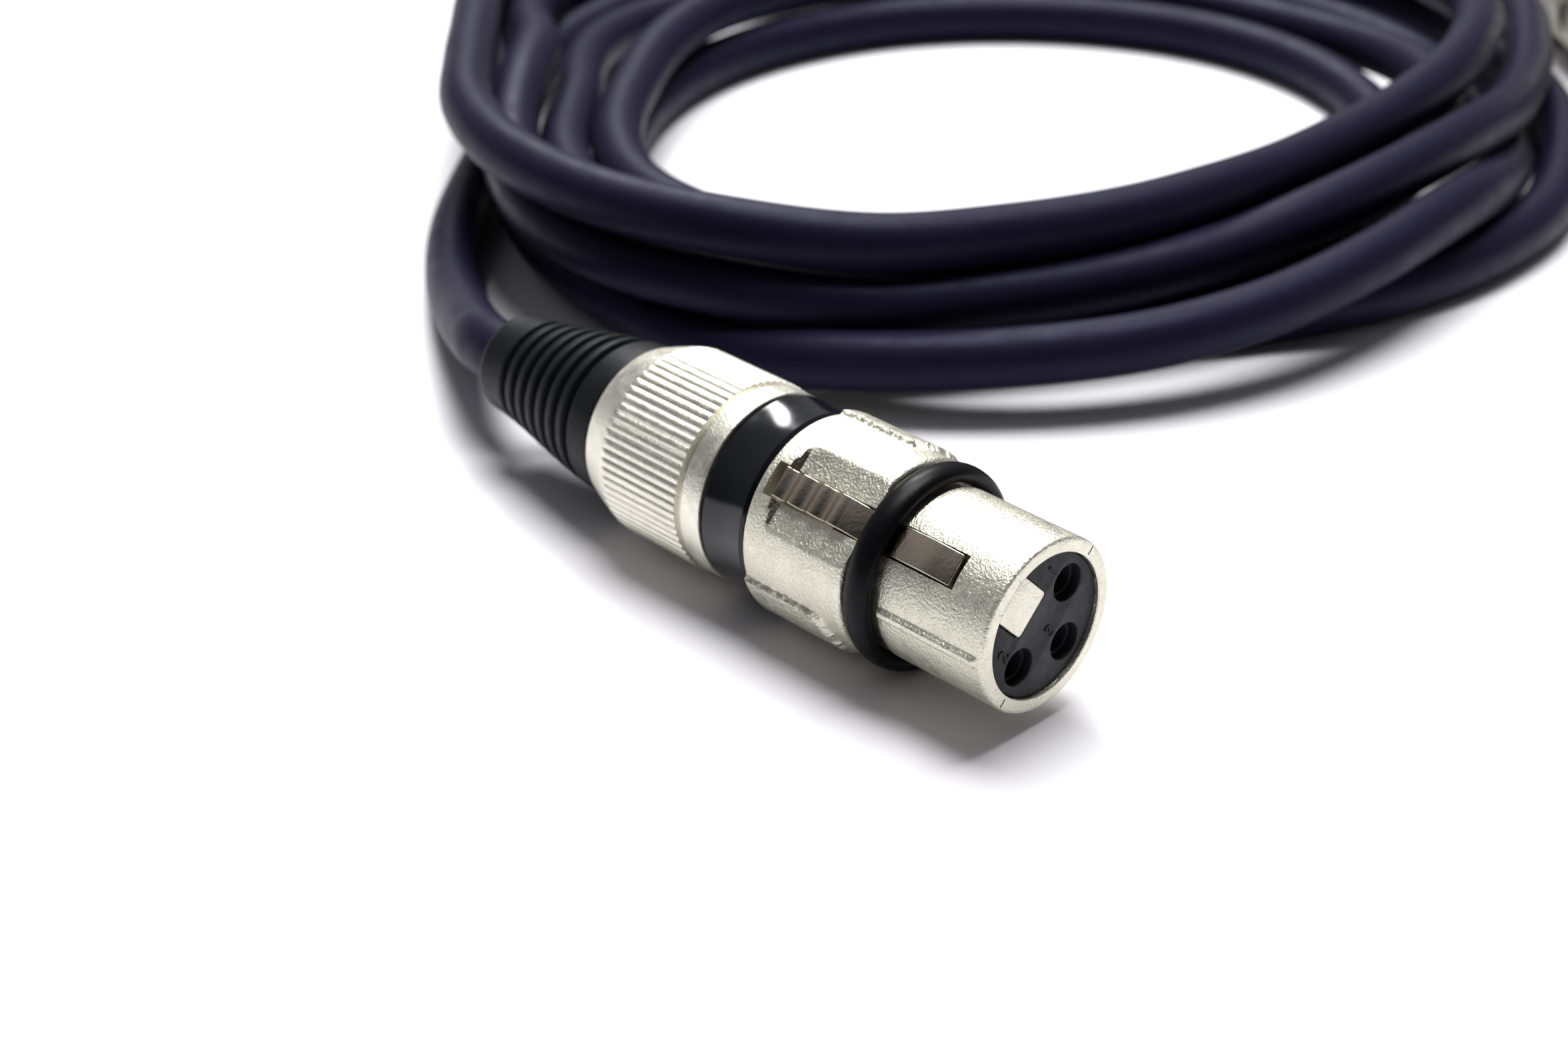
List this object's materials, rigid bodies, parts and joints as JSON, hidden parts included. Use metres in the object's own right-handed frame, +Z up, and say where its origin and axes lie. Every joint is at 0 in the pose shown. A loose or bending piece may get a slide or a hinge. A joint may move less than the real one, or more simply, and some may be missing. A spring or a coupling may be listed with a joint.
{
  "type": "xlr cable coil",
  "caption": "Coiled microphone cable on the floor, with a latching female XLR connector at one end and a male XLR connector at the other.",
  "frame": {"origin": "bottom centre of the bounding box, on the floor the cable lies on", "axes": "+Z up from the floor; +Y runs from the female connector in front to the back of the coil, the object's longest way; +X to the right"},
  "size_m": [0.1742, 0.2504, 0.0212],
  "materials": {
    "jacket": "satin dark violet PVC",
    "core": "stranded conductors, fillers and braid",
    "nickel": "satin nickel plate on a sand-blasted die casting",
    "latch_nickel": "bright nickel plate",
    "contact": "silver plated contact",
    "insert": "fine matt glass-filled plastic",
    "ring": "glossy black",
    "chuck": "natural acetal",
    "rubber": "matt black",
    "wire_bare": "tinned copper screen",
    "wire_red": "red insulation",
    "wire_white": "white insulation"
  },
  "bodies": {
    "body": {"cable_jacket": "jacket", "cable_core": "core", "f_shell": "nickel", "m_shell": "nickel", "f_latch_spring": "latch_nickel", "f_socket_1": "contact", "f_socket_2": "contact", "f_socket_3": "contact", "m_pin_1": "contact", "m_pin_2": "contact", "m_pin_3": "contact", "f_insert": "insert", "m_insert": "insert", "f_coding_ring": "ring", "m_coding_ring": "ring", "f_chuck": "chuck", "m_chuck": "chuck", "f_o_ring": "rubber", "f_wire_1": "wire_bare", "m_wire_1": "wire_bare", "f_wire_2": "wire_red", "m_wire_2": "wire_red", "f_wire_3": "wire_white", "m_wire_3": "wire_white"},
    "f_latch": {"f_latch": "latch_nickel"},
    "f_boot": {"f_boot": "rubber"},
    "f_nut": {"f_nut": "nickel"},
    "m_boot": {"m_boot": "rubber"},
    "m_nut": {"m_nut": "nickel"}
  },
  "joints": [
    {"name": "f_latch_rock", "type": "hinge", "parent": "body", "child": "f_latch", "pos_m": [-0.04219, -0.10551, 0.01546], "axis": [0.5046, 0.4865, 0.7133], "range_deg": [0, 4], "stiffness_Nm_per_rad": 0.05, "deforming": ["f_latch_spring"]},
    {"name": "f_nut_slide", "type": "slide", "parent": "body", "child": "f_boot", "axis": [-0.694, 0.7199, 0], "range_m": [0, 0.0045]},
    {"name": "f_nut_turn", "type": "hinge", "parent": "f_boot", "child": "f_nut", "pos_m": [-0.04799, -0.09097, 0.00965], "axis": [-0.694, 0.7199, 0], "range_deg": [0, 1620]},
    {"name": "m_nut_slide", "type": "slide", "parent": "body", "child": "m_boot", "axis": [-0.0698, 0.9976, 0], "range_m": [0, 0.0045]},
    {"name": "m_nut_turn", "type": "hinge", "parent": "m_boot", "child": "m_nut", "pos_m": [0.07477, 0.06813, 0.00965], "axis": [-0.0698, 0.9976, 0], "range_deg": [0, 1620]}
  ],
  "couplings": [
    {"joint": "f_nut_turn", "follows": "f_nut_slide", "rad_per_m": 6283},
    {"joint": "m_nut_turn", "follows": "m_nut_slide", "rad_per_m": 6283}
  ]
}
